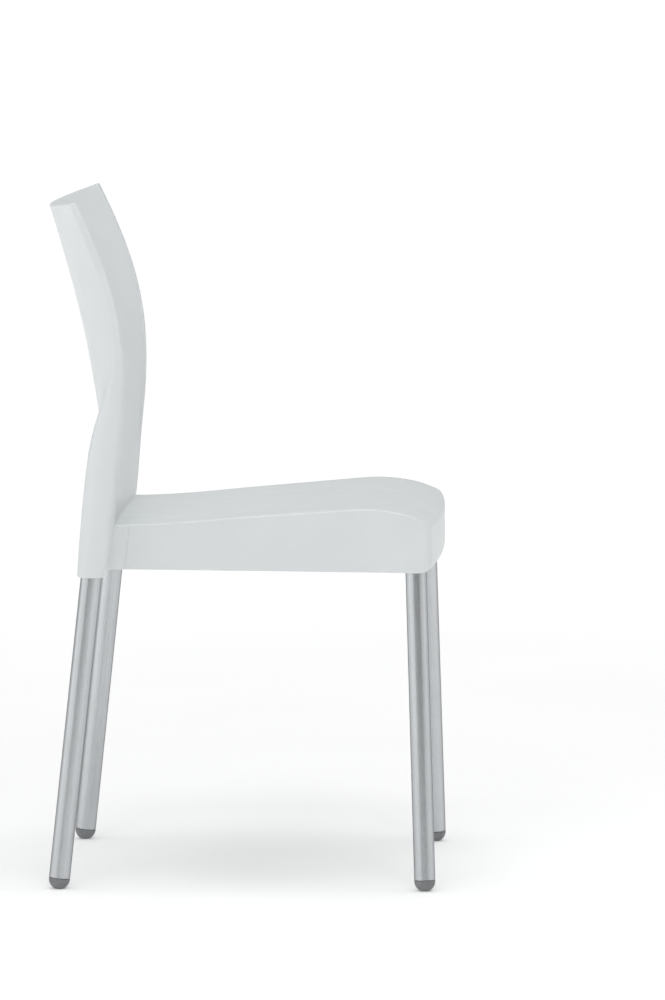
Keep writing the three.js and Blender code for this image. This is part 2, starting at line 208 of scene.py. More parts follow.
# Side columns: forward against height, for the front edge and the rear edge
column_front = profile([
    (360, 54), (378, 56.5), (436, 65), (509, 71.3), (560, 76), (600, 77.3), (650, 74.5),
    (709, 62.5), (755, 46.5), (796, 28.5), (834, 9.5),
], 8)
column_rear = profile([
    (360, 20.5), (378, 21.3), (425, 24.3), (485, 30), (538, 38.2), (577, 50), (608, 59),
    (640, 62.2), (690, 56.5), (739, 41.5), (793, 20.5), (834, 2),
], 6)
# Back panel: its rear face on the middle plane, forward against height
panel_rear = profile([
    (400, 63), (430, 59.5), (490, 46.5), (554, 34), (629, 20.5), (687, 7.5), (745, -8.5),
    (805, -26.5), (834, -36),
], 10)
# Half thickness of a column across the chair, against height
column_half = profile([
    (360, 17.6), (440, 18), (520, 17.2), (570, 13.5), (620, 8.5), (680, 5), (740, 3.8), (834, 3.5),
], 8)


def squareness(up):
    """Exponent of a column's section: a soft oval below that becomes a flat strip above."""
    return 2.3 + 1.2 * smoothstep(up, 560, 700) + 4 * smoothstep(up, 640, 780)


def column_outer(up):
    return COLUMN_OUTER - COLUMN_INWARD * (up - COLUMN_OUTER_HEIGHT)


def half_width(forward):
    t = np.clip((forward - SEAT_REAR) / (WIDEST_STATION - SEAT_REAR), 0, WIDENING_END)
    widening = (1 - WIDENING_BOW) * t + WIDENING_BOW * t * t
    return REAR_HALF_WIDTH + (FRONT_HALF_WIDTH - REAR_HALF_WIDTH) * widening


def front_line(across):
    return SEAT_FRONT - FRONT_BULGE * (across / FRONT_HALF_WIDTH) ** 2


def seat_top(forward, across):
    """Height of the seat: the profile, bent to follow the bowed front, less a shallow dish."""
    ramp = smoothstep(forward, FRONT_BLEND_START, SEAT_FRONT - FRONT_BULGE)
    level = seat_profile(forward + ramp * (SEAT_FRONT - front_line(across)))
    sideways = np.clip(1 - (across / DISH_HALF_WIDTH) ** 2, 0, 1) ** 3
    lengthwise = np.clip(1 - ((forward - DISH_CENTRE) / DISH_HALF_LENGTH) ** 2, 0, 1) ** 3
    return level - DISH_DEPTH * sideways * lengthwise


def seat_underside(forward, across):
    return seat_top(forward, across) - SEAT_THICKNESS


def skirt_forward(forward, up):
    """Below the seat surface the rear of the skirt leans with the rear legs."""
    rear_share = 1 - smoothstep(forward, *LEAN_FADE)
    drop = np.maximum(0, seat_profile(SEAT_REAR) - up)
    return forward - LEGS["rear"]["lean"] * drop * rear_share


# ---- Meshes ----

def stack(forward, across, up):
    """Points in the part's frame, in metres, from stations in millimetres."""
    forward, across, up = np.broadcast_arrays(forward, across, up)
    return np.stack([across, CENTRE_FORWARD - forward, up], -1).astype(float) * MM


def moved(points, matrix):
    return points @ np.array(matrix.to_3x3()).T + np.array(matrix.translation)


def mesh_object(name, vertices, faces):
    mesh = bpy.data.meshes.new(name)
    mesh.from_pydata([tuple(v) for v in vertices], [], faces)
    mesh.validate()
    mesh.shade_smooth()
    thing = bpy.data.objects.new(name, mesh)
    bpy.context.scene.collection.objects.link(thing)
    face_out(thing)
    return thing


def face_out(thing):
    """Turns the faces round if the closed mesh is inside out."""
    mesh = thing.data
    mesh.calc_loop_triangles()
    corners = np.empty(len(mesh.loop_triangles) * 3, int)
    mesh.loop_triangles.foreach_get("vertices", corners)
    places = np.empty(len(mesh.vertices) * 3)
    mesh.vertices.foreach_get("co", places)
    a, b, c = places.reshape(-1, 3)[corners].reshape(-1, 3, 3).transpose(1, 0, 2)
    if np.einsum("ij,ij->i", a, np.cross(b, c)).sum() < 0:
        mesh.flip_normals()


def loft(name, rings, first_cap="strip", last_cap="strip"):
    """A closed surface through rings of points. A cap is a strip, a patch of its own, or one face."""
    count = len(rings[0])
    faces = []
    for row in range(len(rings) - 1):
        base = row * count
        for i in range(count):
            after = (i + 1) % count
            faces.append((base + i, base + after, base + count + after, base + count + i))
    for base, cap in ((0, first_cap), ((len(rings) - 1) * count, last_cap)):
        ring = list(range(base, base + count))
        if cap == "face":
            faces.append(tuple(ring if base else reversed(ring)))
        if cap == "strip":
            for i in range(count // 2 - 1):
                quad = (ring[i], ring[i + 1], ring[count - i - 2], ring[count - i - 1])
                faces.append(quad if base else quad[::-1])
    return name, np.concatenate(rings), faces


def combine(body, other, operation):
    """Joins or cuts body with other, which is then gone."""
    modifier = body.modifiers.new(operation, "BOOLEAN")
    modifier.operation = operation
    modifier.solver = "MANIFOLD"
    modifier.object = other
    graph = bpy.context.evaluated_depsgraph_get()
    made = bpy.data.meshes.new_from_object(body.evaluated_get(graph), depsgraph=graph)
    body.modifiers.clear()
    old = body.data
    body.data = made
    bpy.data.meshes.remove(old)
    bpy.data.objects.remove(other)
    return body


def lathe(name, outline, matrix, sides=96):
    """A turned body from (radius, height) pairs that start and end on the axis or close on themselves."""
    closed = outline[0][0] > 0
    turns = np.arange(sides) * 2 * math.pi / sides
    vertices, faces, rows = [], [], []
    for radius, height in outline:
        if radius <= 0:
            rows.append([len(vertices)])
            vertices.append((0, 0, height))
        else:
            rows.append(list(range(len(vertices), len(vertices) + sides)))
            vertices.extend(zip(radius * np.cos(turns), radius * np.sin(turns), np.full(sides, height)))
    for lower, upper in zip(rows, rows[1:] + rows[:1] if closed else rows[1:]):
        for i in range(sides):
            after = (i + 1) % sides
            face = [lower[i % len(lower)], lower[after % len(lower)]]
            face += [upper[after % len(upper)], upper[i % len(upper)]]
            faces.append(tuple(dict.fromkeys(face)))
    return mesh_object(name, moved(np.array(vertices, float) * MM, matrix), faces)


# ---- Seat ----

LANES = 96
SIDE_STEPS = 84
CORNER_STEPS = 6
FRONT_CROWDING = 1.3


def seat_outline(front, side, rear):
    """Plan of the seat moved in at its front, sides and rear: runs along rear, left, front and right."""
    corner_start = SEAT_FRONT - FRONT_BULGE - CORNER_RADIUS - front
    corner_end = FRONT_HALF_WIDTH - CORNER_RADIUS - side
    tip = front_line(FRONT_HALF_WIDTH) - front
    share = np.linspace(0, 1, 2 * CORNER_STEPS + 1)[:, None]
    points = [
        (corner_start, half_width(corner_start) - side), (tip, half_width(tip) - side),
        (front_line(corner_end) - front, corner_end),
    ]
    a, b, c = (np.array(p, float) for p in points)
    corner = a * (1 - share) ** 2 + 2 * b * share * (1 - share) + c * share ** 2
    run = 1 - (1 - np.linspace(0, 1, SIDE_STEPS)) ** FRONT_CROWDING
    stations = SEAT_REAR + rear + (corner_start - SEAT_REAR - rear) * run
    left = np.column_stack([stations, half_width(stations) - side])
    left = np.concatenate([left, corner[1:CORNER_STEPS + 1]])
    across = np.linspace(corner_end, 0, LANES // 2 - CORNER_STEPS + 1)[1:]
    half = np.concatenate([corner[CORNER_STEPS:], np.column_stack([front_line(across) - front, across])])
    mirror = np.array([1, -1])
    width = REAR_HALF_WIDTH - side
    rear_run = np.column_stack([np.full(LANES + 1, SEAT_REAR + rear), np.linspace(-width, width, LANES + 1)])
    return rear_run, left, np.concatenate([half, (half * mirror)[::-1][1:]]), (left * mirror)[::-1]


def around(runs):
    return np.concatenate([run[:-1] for run in runs])


def seat_ring(insets, up):
    """One ring of points round the seat. up is a height, or heights for each place on the ring."""
    forward, across = around(seat_outline(*insets)).T
    return stack(skirt_forward(forward, up), across, up)


def front_share():
    """How far each place on the outline belongs to the front, with the change inside the corners."""
    _, left, front, _ = seat_outline(0, 0, 0)
    rising = smoothstep(np.arange(len(left)), len(left) - 1 - CORNER_STEPS, len(left) - 1 + CORNER_STEPS)
    falling = smoothstep(np.arange(len(front)), -CORNER_STEPS, CORNER_STEPS)
    falling = np.minimum(falling, falling[::-1])
    return np.concatenate([np.zeros(LANES), rising[:-1], falling[:-1], rising[::-1][:-1]])


def seat_patch(insets, height, base):
    """The surface inside a ring, as new inner points and faces; the ring's points start at base."""
    rear, left, front, right = seat_outline(*insets)
    right, front = right[::-1], front[::-1]
    steps = len(left) - 1
    s = np.linspace(0, 1, LANES + 1)[:, None, None]
    t = np.linspace(0, 1, steps + 1)[None, :, None]
    blend = (1 - t) * rear[:, None] + t * front[:, None] + (1 - s) * right[None] + s * left[None]
    blend -= (1 - s) * (1 - t) * rear[0] + s * (1 - t) * rear[-1]
    blend -= (1 - s) * t * front[0] + s * t * front[-1]
    forward, across = blend[1:-1, 1:-1, 0], blend[1:-1, 1:-1, 1]
    inner = stack(forward, across, height(forward, across)).reshape(-1, 3)
    total = 2 * (LANES + steps)
    index = np.empty((LANES + 1, steps + 1), int)
    index[:, 0] = np.arange(LANES + 1)
    index[LANES, :] = LANES + np.arange(steps + 1)
    index[:, steps] = (LANES + steps + np.arange(LANES + 1))[::-1]
    index[0, :] = (2 * LANES + steps + np.arange(steps + 1))[::-1] % total
    index += base
    index[1:-1, 1:-1] = base + total + np.arange((LANES - 1) * (steps - 1)).reshape(LANES - 1, steps - 1)
    faces = [
        (index[i, j], index[i, j + 1], index[i + 1, j + 1], index[i + 1, j])
        for i in range(LANES) for j in range(steps)
    ]
    return inner, [tuple(int(v) for v in face) for face in faces]


def seat_body(name, rings, insets, height):
    """A closed body from rings, with a surface at its top and one flat face below."""
    name, vertices, faces = loft(name, rings, first_cap="face", last_cap="none")
    inner, patch = seat_patch(insets, height, (len(rings) - 1) * len(rings[0]))
    # The rings run clockwise, so their walls look inwards. The patch is turned to match, and
    # face_out then turns the whole body.
    return mesh_object(name, np.concatenate([vertices, inner]), faces + [face[::-1] for face in patch])


def quarter(count):
    return np.linspace(0, math.pi / 2, count)


def seat_outer():
    """The seat as a solid: a rounded lower lip, the skirt, a rounded rim and the sitting surface."""
    front = front_share()
    lip = SIDE_LIP_RADIUS + (FRONT_LIP_RADIUS - SIDE_LIP_RADIUS) * front
    top = [EDGE_RADIUS] * 3
    forward, across = around(seat_outline(*top)).T
    rim = seat_top(forward, across)
    rings = []
    for angle in quarter(9):
        inward = 1 - math.sin(angle)
        insets = FRONT_LIP_RADIUS * inward, SIDE_LIP_RADIUS * inward, SIDE_LIP_RADIUS * inward
        rings.append(seat_ring(insets, SKIRT_BOTTOM + lip * (1 - math.cos(angle))))
    low, high = SKIRT_BOTTOM + lip, rim - EDGE_RADIUS
    for share in np.linspace(0, 1, 7)[1:-1]:
        rings.append(seat_ring((0, 0, 0), low + (high - low) * share))
    for angle in quarter(7):
        insets = [EDGE_RADIUS * (1 - math.cos(angle))] * 3
        rings.append(seat_ring(insets, rim - EDGE_RADIUS * (1 - math.sin(angle))))
    return seat_body("seat_outer", rings, top, seat_top)


def seat_hollow():
    """The space under the seat, narrower at its mouth behind the rounded front lip."""
    lip = FRONT_LIP_RADIUS - SIDE_LIP_RADIUS
    top = [SKIRT_WALL + HOLLOW_FILLET] * 3
    forward, across = around(seat_outline(*top)).T
    roof = seat_underside(forward, across)
    rings = [seat_ring((SKIRT_WALL + lip, SKIRT_WALL, SKIRT_WALL), SKIRT_BOTTOM - PAST_HOLLOW)]
    for share in np.linspace(0, 1, 9):
        front = SKIRT_WALL + lip * (1 - float(smoothstep(share, 0, 1)))
        up = SKIRT_BOTTOM + LIP_START + LIP_RISE * share
        rings.append(seat_ring((front, SKIRT_WALL, SKIRT_WALL), up))
    low, high = SKIRT_BOTTOM + LIP_START + LIP_RISE, roof - HOLLOW_FILLET
    for share in (0.35, 0.7):
        rings.append(seat_ring([SKIRT_WALL] * 3, low + (high - low) * share))
    for angle in quarter(5):
        insets = [SKIRT_WALL + HOLLOW_FILLET * (1 - math.cos(angle))] * 3
        rings.append(seat_ring(insets, roof - HOLLOW_FILLET * (1 - math.sin(angle))))
    return seat_body("seat_hollow", rings, top, seat_underside)


def prism(name, outline, low, high, round_low, round_high):
    """An upright body on a plan outline, with its lower and upper edges rounded."""
    before, after = np.roll(outline, 1, 0), np.roll(outline, -1, 0)
    normals = []
    for a, b in ((before, outline), (outline, after)):
        run = b - a
        run /= np.linalg.norm(run, axis=1)[:, None]
        normals.append(np.column_stack([-run[:, 1], run[:, 0]]))
    inward = normals[0] + normals[1]
    inward *= 2 / (inward ** 2).sum(1)[:, None]
    area = np.cross(before, outline).sum()
    inward *= 1 if area > 0 else -1
    rings = []
    for angle in quarter(5):
        forward, across = (outline + inward * round_low * (1 - math.sin(angle))).T
        rings.append((forward, across, low + round_low * (1 - math.cos(angle)) + 0 * forward))
    rim = outline + inward * round_high
    for angle in quarter(6):
        forward, across = (outline + inward * round_high * (1 - math.cos(angle))).T
        rings.append((forward, across, high(*rim.T) - round_high * (1 - math.sin(angle))))
    rings = [stack(skirt_forward(forward, up), across, up) for forward, across, up in rings]
    return mesh_object(*loft(name, rings, "face", "face"))


def arc(centre, radius, start, end, count):
    angles = np.radians(np.linspace(start, end, count))
    return np.column_stack([centre[0] + radius * np.cos(angles), centre[1] + radius * np.sin(angles)])


def ear(side):
    """The web that carries the seat's side into the column, hollow to the front and to the rear."""
    start = SEAT_REAR + EAR_START + EAR_RADIUS
    end = start + EAR_TAIL
    outer = arc((start, EAR_HALF_WIDTH), EAR_RADIUS, 180, 270, 17)
    tail = [(end, half_width(end) - SINK_SIDE), (end, half_width(end) - EAR_DEPTH)]
    inside = [(SEAT_REAR + EAR_REACH, REAR_HALF_WIDTH - EAR_DEPTH), (SEAT_REAR + EAR_START, EAR_INNER)]
    rear = arc((SEAT_REAR - EAR_REAR_RADIUS, EAR_INNER), EAR_REAR_RADIUS, 0, 90, 13)
    hidden = [(EAR_ROOT, EAR_ROOT_INNER), (EAR_ROOT, EAR_HALF_WIDTH)]
    outline = np.concatenate([outer, tail, inside, rear, hidden]) * np.array([1, side])

    def surface(forward, across):
        return seat_top(forward, across) - SINK_TOP

    low = SKIRT_BOTTOM + SINK_BOTTOM
    return prism(f"ear_{side}", outline, low, surface, SIDE_LIP_RADIUS, EDGE_RADIUS)


def box_body(name, low, high):
    """A box between two corners, in stations."""
    forward = [low[0], high[0], high[0], low[0]]
    across = [low[1], low[1], high[1], high[1]]
    rings = [stack(forward, across, up) for up in (low[2], high[2])]
    return mesh_object(*loft(name, rings, "face", "face"))


def seat_ribs():
    """Ribs under the seat: long plates that follow its underside, and level cross plates."""
    half = RIB_THICKNESS / 2
    plates = []
    for across in RIB_LANES:
        stations = np.linspace(*RIB_ENDS, 60)
        low = seat_underside(stations, np.full(60, across)) - RIB_DEPTH
        forward = np.concatenate([stations, stations[::-1]])
        up = np.concatenate([low, low[::-1] + LONG_RIB_HEIGHT])
        rings = [stack(forward, place, up) for place in (across - half, across + half)]
        plates.append(mesh_object(*loft(f"rib_{across}", rings, "face", "face")))
    for forward in RIB_STATIONS:
        low = float(seat_underside(forward, RIB_LANES[-1])) - RIB_DEPTH
        near = forward - half, -FRONT_HALF_WIDTH, low
        far = forward + half, FRONT_HALF_WIDTH, low + CROSS_RIB_HEIGHT
        plates.append(box_body(f"rib_{forward}", near, far))
    return plates


# ---- Back ----

COLUMN_POINTS = 64
COLUMN_RINGS = 200
PANEL_RINGS = 140
PANEL_LANES = 61
EDGE_SEARCH = np.linspace(0.8, 1, 200)


def oval(up, angle, inset, side):
    """Stations on a side column: a rounded oval that flattens towards the top."""
    power = 2 / squareness(up)
    middle = (column_front(up) + column_rear(up)) / 2
    depth = (column_front(up) - column_rear(up)) / 2 - inset
    forward = middle + depth * np.sign(np.cos(angle)) * np.abs(np.cos(angle)) ** power
    bulge = (column_half(up) - inset) * np.sign(np.sin(angle)) * np.abs(np.sin(angle)) ** power
    return forward, side * (column_outer(up) - column_half(up)) + bulge


def top_heights(forward_at, below=0.0):
    """Heights at which upright lines meet the sloping top of the back."""
    up = TOP_HEIGHT
    for _ in range(8):
        up = TOP_HEIGHT - below + TOP_SLOPE * forward_at(up)
    return up


def column(side):
    """A side column, rounded at its foot and along its sloping top."""
    angle = 2 * math.pi * (np.arange(COLUMN_POINTS) + 0.5) / COLUMN_POINTS
    top = top_heights(lambda up: oval(up, angle, 0, side)[0])
    stations = [
        (COLUMN_BOTTOM + COLUMN_EDGE * (1 - math.cos(a)) + 0 * angle, COLUMN_EDGE * (1 - math.sin(a)))
        for a in quarter(6)
    ]
    low, high = COLUMN_BOTTOM + COLUMN_EDGE, top - TOP_EDGE
    stations += [(low + (high - low) * share, 0) for share in np.linspace(0, 1, COLUMN_RINGS)[1:-1]]
    rings = []
    for up, inset in stations:
        forward, across = oval(up, angle, inset, side)
        rings.append(stack(forward, across, up))
    for a in quarter(6):
        up, inset = top - TOP_EDGE * (1 - math.sin(a)), TOP_EDGE * (1 - math.cos(a))
        forward, across = oval(up, angle, inset, side)
        shift = forward - oval(up, angle, 0, side)[0]
        rings.append(stack(forward, across, up + TOP_SLOPE * shift))
    return mesh_object(*loft(f"column_{side}", rings))


def panel_front(up, share):
    """The panel's front face, hollow across: share is 0 on the middle plane and 1 at a column."""
    middle = panel_rear(up) + PANEL_THICKNESS
    depth = column_front(up) - GAP - middle
    return middle + depth * share * share


def fillet(distance, radius):
    """How far a hollow round of that radius stands off a wall, at a distance from the other wall."""
    t = np.clip(1 - distance / radius, 0, 1)
    return radius * (1 - np.sqrt(1 - t * t))


def column_edge(up):
    """How far across the panel's rear face runs before it meets the column, at a height."""
    reach = column_outer(up) - column_half(up)
    across = EDGE_SEARCH * reach
    rear = panel_front(up, across / reach) - PANEL_THICKNESS
    middle = (column_front(up) + column_rear(up)) / 2
    depth = (column_front(up) - column_rear(up)) / 2
    power = float(squareness(up))
    lengthwise, sideways = (rear - middle) / depth, (across - reach) / column_half(up)
    inside = np.abs(lengthwise) ** power + np.abs(sideways) ** power < 1
    return float(across[np.argmax(inside)]) if inside.any() else reach


def evened(values):
    """A running mean of the same length."""
    width = 9
    return np.convolve(np.pad(values, width // 2, "edge"), np.ones(width) / width, "valid")


def mirrored(middle, side):
    """A row across the chair from its middle part and its part beyond one side."""
    return np.concatenate([-side[::-1], middle, side])


def panel():
    """The sheet between the columns, hollow to the front and deepest about the shoulders."""
    heights = np.linspace(PANEL_BOTTOM, PANEL_LIMIT, 120)
    edge_at = evened(np.array([column_edge(up) for up in heights]))
    reach_at = column_outer(heights) - column_half(heights)
    step_at = panel_front(heights, edge_at / reach_at) - PANEL_THICKNESS - column_rear(heights)
    round_at = evened(np.clip(COLUMN_FILLET_SHARE * step_at, COLUMN_FILLET_LEAST, COLUMN_FILLET))

    # Lanes across the sheet: the open part, the fillet beside a column, and the part inside it
    middle = np.linspace(-1, 1, PANEL_LANES)
    fillet_part, hidden_part = np.linspace(0, 1, 10)[1:], np.linspace(0, 1, 4)[1:]
    beyond = np.ones(len(fillet_part) + len(hidden_part))
    in_open = mirrored(middle, beyond)
    in_fillet = mirrored(0 * middle, np.concatenate([fillet_part, np.ones(len(hidden_part))]))
    in_column = mirrored(0 * middle, np.concatenate([np.zeros(len(fillet_part)), hidden_part]))

    def across_at(up):
        reach = column_outer(up) - column_half(up)
        edge, radius = np.interp(up, heights, edge_at), np.interp(up, heights, round_at)
        return in_open * (edge - radius) + in_fillet * radius + in_column * (reach - edge)

    def front_at(up):
        return panel_front(up, across_at(up) / (column_outer(up) - column_half(up)))

    def sheet_at(up):
        across, front = across_at(up), front_at(up)
        clear = np.maximum(np.interp(up, heights, edge_at) - np.abs(across), 0)
        return across, front, front - PANEL_THICKNESS - fillet(clear, np.interp(up, heights, round_at))

    even = 0 * in_open
    top = top_heights(lambda up: front_at(even + up), SINK_PANEL)
    crease = seat_top(CREASE_STATION, 0) - SINK_CREASE
    levels = [even + up for up in crease + np.array(CREASE_STEPS)]
    low, high = levels[-1], top - TOP_EDGE
    levels += [low + (high - low) * t for t in np.linspace(0, 1, PANEL_RINGS)[1:-3]]
    rings = []
    for up in levels:
        across, front, rear = sheet_at(up)
        clear_of_columns = 1 - smoothstep(np.abs(across), *CREASE_FADE)
        front = front + fillet(np.maximum(up - crease, 0), CREASE_FILLET) * clear_of_columns
        rings.append(np.concatenate([stack(front, across, up), stack(rear, across, up)[::-1]]))
    for a in quarter(6):
        up, inset = top - TOP_EDGE * (1 - math.sin(a)), TOP_EDGE * (1 - math.cos(a))
        across, front, rear = sheet_at(up)
        rear_up = up - TOP_SLOPE * (front - rear)
        rear_across, _, rear = sheet_at(rear_up)
        rings.append(np.concatenate([
            stack(front - inset, across, up - TOP_SLOPE * inset),
            stack(rear + inset, rear_across, rear_up + TOP_SLOPE * inset)[::-1],
        ]))
    return mesh_object(*loft("panel", rings))


# ---- Places of legs and screws ----

leg_list = [(end, side) for end in LEGS for side in (1, -1)]


def label(end, side):
    return f"{end}_{'left' if side > 0 else 'right'}"


def leg_matrix(end, side):
    """A leg's own frame in metres: Z along the tube, origin at the centre of the glide's ball."""
    leg = LEGS[end]
    along = Vector((-side * leg["inward"], -leg["lean"], 1)).normalized()
    turn = Vector((0, 0, 1)).rotation_difference(along).to_matrix().to_4x4()
    x, y, _ = FEET[label(end, side)]
    return Matrix.Translation((x, y, BALL_HEIGHT * MM)) @ turn


def along_leg(end, up):
    """Distance along a leg from its origin to a height."""
    return (up - BALL_HEIGHT) * math.hypot(1, LEGS[end]["lean"], LEGS[end]["inward"])


def screw_matrix(end, side):
    """The screw's frame: Z points outwards across the chair, origin under the screw's head."""
    place = leg_matrix(end, side) @ Vector((0, 0, along_leg(end, SCREW_HEIGHT) * MM))
    place.x -= side * LEGS[end]["screw_seat"] * MM
    return Matrix.Translation(place) @ Matrix.Rotation(side * math.pi / 2, 4, "Y")


def cylinder(name, radius, low, high, matrix, sides=96):
    return lathe(name, [(0, low), (radius, low), (radius, high), (0, high)], matrix, sides)


def screw_hole(end, side):
    low, high = -PAST_HOLE, SCREW_LENGTH + PAST_HOLE
    return cylinder("hole", SCREW_SHANK + GAP, low, high, screw_matrix(end, side), 48)


# ---- Shell ----

def keep_largest(thing):
    """Drops slivers that the joining left beside the body, and faces with no area."""
    mesh = thing.data
    body = bmesh.new()
    body.from_mesh(mesh)
    bmesh.ops.dissolve_degenerate(body, dist=SLIVER, edges=body.edges[:])
    unseen, parts = set(body.verts), []
    while unseen:
        waiting = [unseen.pop()]
        part = set(waiting)
        while waiting:
            for edge in waiting.pop().link_edges:
                found = unseen.intersection(edge.verts)
                unseen -= found
                part |= found
                waiting.extend(found)
        parts.append(part)
    parts.sort(key=len)
    bmesh.ops.delete(body, geom=[vertex for part in parts[:-1] for vertex in part], context="VERTS")
    body.to_mesh(mesh)
    body.free()


def keep_smooth(shell, sources):
    """Gives each face of the joined shell the smooth normals of the surface it was cut from."""
    trees, normals, corners, places = [], [], [], []
    for mesh in sources:
        mesh.calc_loop_triangles()
        triangles = np.empty(len(mesh.loop_triangles) * 3, int)
        mesh.loop_triangles.foreach_get("vertices", triangles)
        triangles = triangles.reshape(-1, 3)
        co = np.empty(len(mesh.vertices) * 3)
        mesh.vertices.foreach_get("co", co)
        normal = np.empty(len(mesh.vertices) * 3)
        mesh.vertex_normals.foreach_get("vector", normal)
        co = [Vector(v) for v in co.reshape(-1, 3)]
        trees.append(BVHTree.FromPolygons(co, triangles.tolist(), all_triangles=True))
        places.append(co)
        normals.append([Vector(v) for v in normal.reshape(-1, 3)])
        corners.append(triangles.tolist())
    mesh = shell.data
    custom = [Vector((0, 0, 0))] * len(mesh.loops)
    for face in mesh.polygons:
        found = None
        for index, tree in enumerate(trees):
            normal = tree.find_nearest(face.center, SAME_SURFACE)[1]
            if normal is not None and abs(normal.dot(face.normal)) > SAME_FACING:
                found = index
                break
        if found is None:
            continue
        for loop in face.loop_indices:
            spot = mesh.vertices[mesh.loops[loop].vertex_index].co
            hit, _, triangle, _ = trees[found].find_nearest(spot)
            a, b, c = corners[found][triangle]
            at, of = places[found], normals[found]
            normal = barycentric_transform(hit, at[a], at[b], at[c], of[a], of[b], of[c]).normalized()
            custom[loop] = -normal if normal.dot(face.normal) < 0 else normal
    mesh.normals_split_custom_set(custom)


def build_shell():
    """Seat, webs, panel and columns joined into one moulding, with its sockets, bores and holes."""
    shell = seat_outer()
    hollow = seat_hollow()
    sources = [shell.data.copy(), hollow.data.copy()]
    for side in (1, -1):
        web = ear(side)
        sources.append(web.data.copy())
        combine(shell, web, "UNION")
    for rib in seat_ribs():
        combine(hollow, rib, "DIFFERENCE")
    for side in (1, -1):
        low, high = along_leg("front", SKIRT_BOTTOM), along_leg("front", SOCKET_TOP)
        socket = cylinder("socket", SOCKET_RADIUS, low, high, leg_matrix("front", side))
        combine(hollow, socket, "DIFFERENCE")
    combine(shell, hollow, "DIFFERENCE")
    for body in (panel(), column(1), column(-1)):
        sources.append(body.data.copy())
        combine(shell, body, "UNION")
    for end, side in leg_list:
        low, high = along_leg(end, SKIRT_BOTTOM - PAST_BORE), along_leg(end, LEGS[end]["top"]) + GAP
        bore = cylinder("bore", TUBE_RADIUS + GAP, low, high, leg_matrix(end, side))
        combine(shell, bore, "DIFFERENCE")
        well = cylinder("well", SCREW_HEAD + 1, -PAST_BORE, 0, screw_matrix(end, side))
        combine(shell, well, "DIFFERENCE")
        combine(shell, screw_hole(end, side), "DIFFERENCE")
    keep_largest(shell)
    shell.data.shade_smooth()
    shell.data.set_sharp_from_angle(angle=SHELL_SHARP_ANGLE)
    keep_smooth(shell, sources)
    for mesh in sources:
        bpy.data.meshes.remove(mesh)
    shell.name = shell.data.name = "moulded_shell"
    return shell


# ---- Legs, glides and screws ----

def store_grain(thing, matrix):
    """Keeps each point's place in the leg's own frame, for streaks that run along the tube."""
    mesh = thing.data
    inverse = matrix.inverted()
    grain = mesh.attributes.new("grain", "FLOAT_VECTOR", "POINT")
    places = [tuple(inverse @ vertex.co) for vertex in mesh.vertices]
    grain.data.foreach_set("vector", np.array(places).ravel())


def crisp(thing):
    thing.data.shade_smooth()
    thing.data.set_sharp_from_angle(angle=SHARP_ANGLE)
    return thing


def build_tube(end, side):
    """A leg tube with broken edges at both ends and a hole for its screw."""
    matrix = leg_matrix(end, side)
    low, high = GLIDE_COLLAR + GAP, along_leg(end, LEGS[end]["top"])
    outline = [(TUBE_BORE, low + TUBE_EDGE), (TUBE_BORE + TUBE_EDGE, low)]
    outline += [(TUBE_RADIUS - TUBE_EDGE, low), (TUBE_RADIUS, low + TUBE_EDGE)]
    outline += [(TUBE_RADIUS, low + (high - low) * t) for t in np.linspace(0, 1, 24)[1:-1]]
    outline += [(TUBE_RADIUS, high - TUBE_EDGE), (TUBE_RADIUS - TUBE_EDGE, high)]
    outline += [(TUBE_BORE + TUBE_EDGE, high), (TUBE_BORE, high - TUBE_EDGE)]
    tube = lathe(f"tube_{label(end, side)}", outline, matrix)
    combine(tube, screw_hole(end, side), "DIFFERENCE")
    store_grain(tube, matrix)
    return crisp(tube)


def build_glide(end, side):
    """A ball foot with a collar that meets the tube and a stem inside it."""
    stem = TUBE_BORE - GAP
    outline = [(0, -TUBE_RADIUS)]
    for angle in np.radians(np.linspace(-90, 0, 40)[1:]):
        outline.append((TUBE_RADIUS * math.cos(angle), TUBE_RADIUS * math.sin(angle)))
    outline += [(TUBE_RADIUS, GLIDE_COLLAR - GLIDE_EDGE), (TUBE_RADIUS - 0.12, GLIDE_COLLAR - 0.12)]
    outline += [(TUBE_RADIUS - GLIDE_EDGE, GLIDE_COLLAR), (stem, GLIDE_COLLAR), (stem, GLIDE_STEM - 2)]
    outline += [(stem - 0.6, GLIDE_STEM - 0.6), (stem - 2, GLIDE_STEM), (0, GLIDE_STEM)]
    matrix = leg_matrix(end, side)
    glide = lathe(f"glide_{label(end, side)}_visual", outline, matrix)
    for vertex in glide.data.vertices:
        vertex.co.z = max(vertex.co.z, 0)
    return crisp(glide)


def thread_radius(height, turn):
    """Radius of the screw at a height and a turn: a helical ridge that runs out at both ends."""
    phase = (height / THREAD_PITCH - turn / (2 * math.pi)) % 1
    ridge = np.clip(1.25 - np.abs(phase - 0.5) * 3.2, 0, 1)
    presence = smoothstep(height, 1.2, 2.6) * (1 - smoothstep(height, SCREW_LENGTH - 4, SCREW_LENGTH))
    tip = 1 - 0.6 * smoothstep(height, SCREW_LENGTH - 3.5, SCREW_LENGTH)
    return (THREAD_ROOT + (THREAD_CREST - THREAD_ROOT) * ridge * presence) * tip


